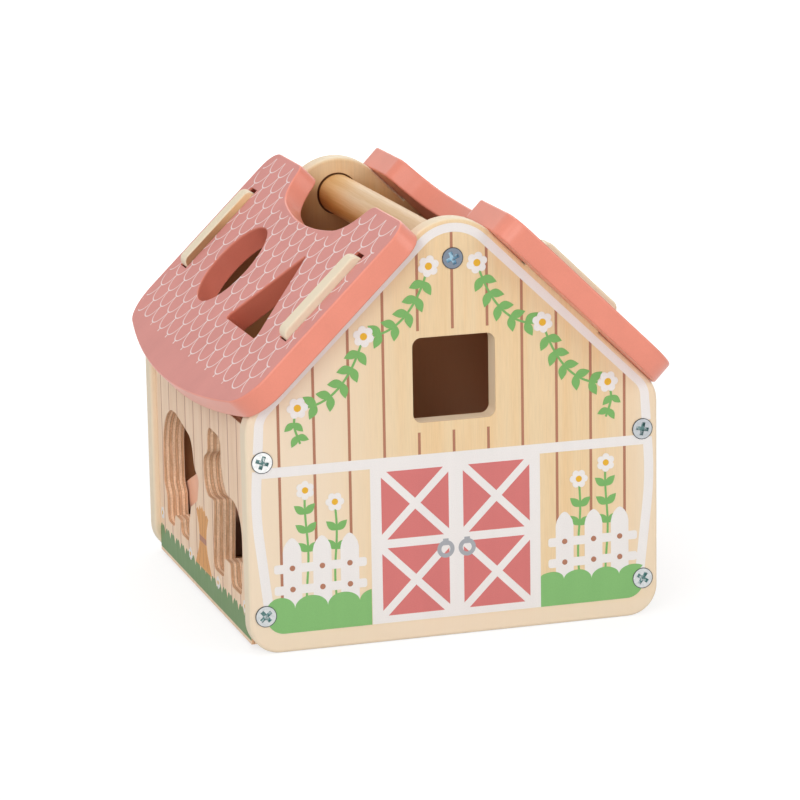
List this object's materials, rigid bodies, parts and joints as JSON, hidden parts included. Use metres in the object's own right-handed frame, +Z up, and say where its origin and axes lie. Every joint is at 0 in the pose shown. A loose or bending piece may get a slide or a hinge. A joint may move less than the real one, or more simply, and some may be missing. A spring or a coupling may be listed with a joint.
{
  "type": "wooden shape sorter house",
  "caption": "Small wooden play house with lift-off notched roof panels, a carrying dowel along the ridge, shaped openings in roof, walls and gables, and matching loose blocks.",
  "frame": {"origin": "on the ground, in the middle of the house", "axes": "+X to the right of the front gable, +Y from the front gable to the rear one, +Z up"},
  "size_m": [0.1886, 0.186, 0.164],
  "materials": {
    "gable_board": "satin, printed",
    "wall_plywood": "satin, printed",
    "floor_plywood": "matte",
    "roof_panel": "satin paint",
    "dowel_wood": "satin",
    "screw_steel": "bright zinc",
    "pig_paint": "satin paint",
    "calf_paint": "satin paint",
    "round_paint": "satin paint",
    "square_paint": "satin paint",
    "triangle_paint": "satin paint"
  },
  "bodies": {
    "house": {"front_gable": "gable_board", "rear_gable": "gable_board", "left_wall": "wall_plywood", "right_wall": "wall_plywood", "floor_panel": "floor_plywood", "carrying_dowel": "dowel_wood", "front_screw_ridge": "screw_steel", "front_screw_upper_left": "screw_steel", "front_screw_upper_right": "screw_steel", "front_screw_lower_left": "screw_steel", "front_screw_lower_right": "screw_steel", "rear_screw_ridge": "screw_steel", "rear_screw_upper_left": "screw_steel", "rear_screw_upper_right": "screw_steel", "rear_screw_lower_left": "screw_steel", "rear_screw_lower_right": "screw_steel"},
    "left_roof_body": {"left_roof": "roof_panel"},
    "right_roof_body": {"right_roof": "roof_panel"},
    "pig_block_body": {"pig_block": "pig_paint"},
    "calf_block_body": {"calf_block": "calf_paint"},
    "round_block_body": {"round_block": "round_paint"},
    "square_block_body": {"square_block": "square_paint"},
    "triangle_block_body": {"triangle_block": "triangle_paint"}
  },
  "joints": [
    {"name": "left_roof_lift", "type": "slide", "parent": "house", "child": "left_roof_body", "axis": [-0.6972, 0, 0.7169], "range_m": [0, 0.06]},
    {"name": "right_roof_lift", "type": "slide", "parent": "house", "child": "right_roof_body", "axis": [0.6972, 0, 0.7169], "range_m": [0, 0.06]},
    {"name": "pig_block_lift", "type": "slide", "parent": "house", "child": "pig_block_body", "axis": [0, 0, 1], "range_m": [0, 0.04]},
    {"name": "calf_block_lift", "type": "slide", "parent": "house", "child": "calf_block_body", "axis": [0, 0, 1], "range_m": [0, 0.04]},
    {"name": "round_block_lift", "type": "slide", "parent": "house", "child": "round_block_body", "axis": [0, 0, 1], "range_m": [0, 0.04]},
    {"name": "square_block_lift", "type": "slide", "parent": "house", "child": "square_block_body", "axis": [0, 0, 1], "range_m": [0, 0.04]},
    {"name": "triangle_block_lift", "type": "slide", "parent": "house", "child": "triangle_block_body", "axis": [0, 0, 1], "range_m": [0, 0.04]}
  ]
}
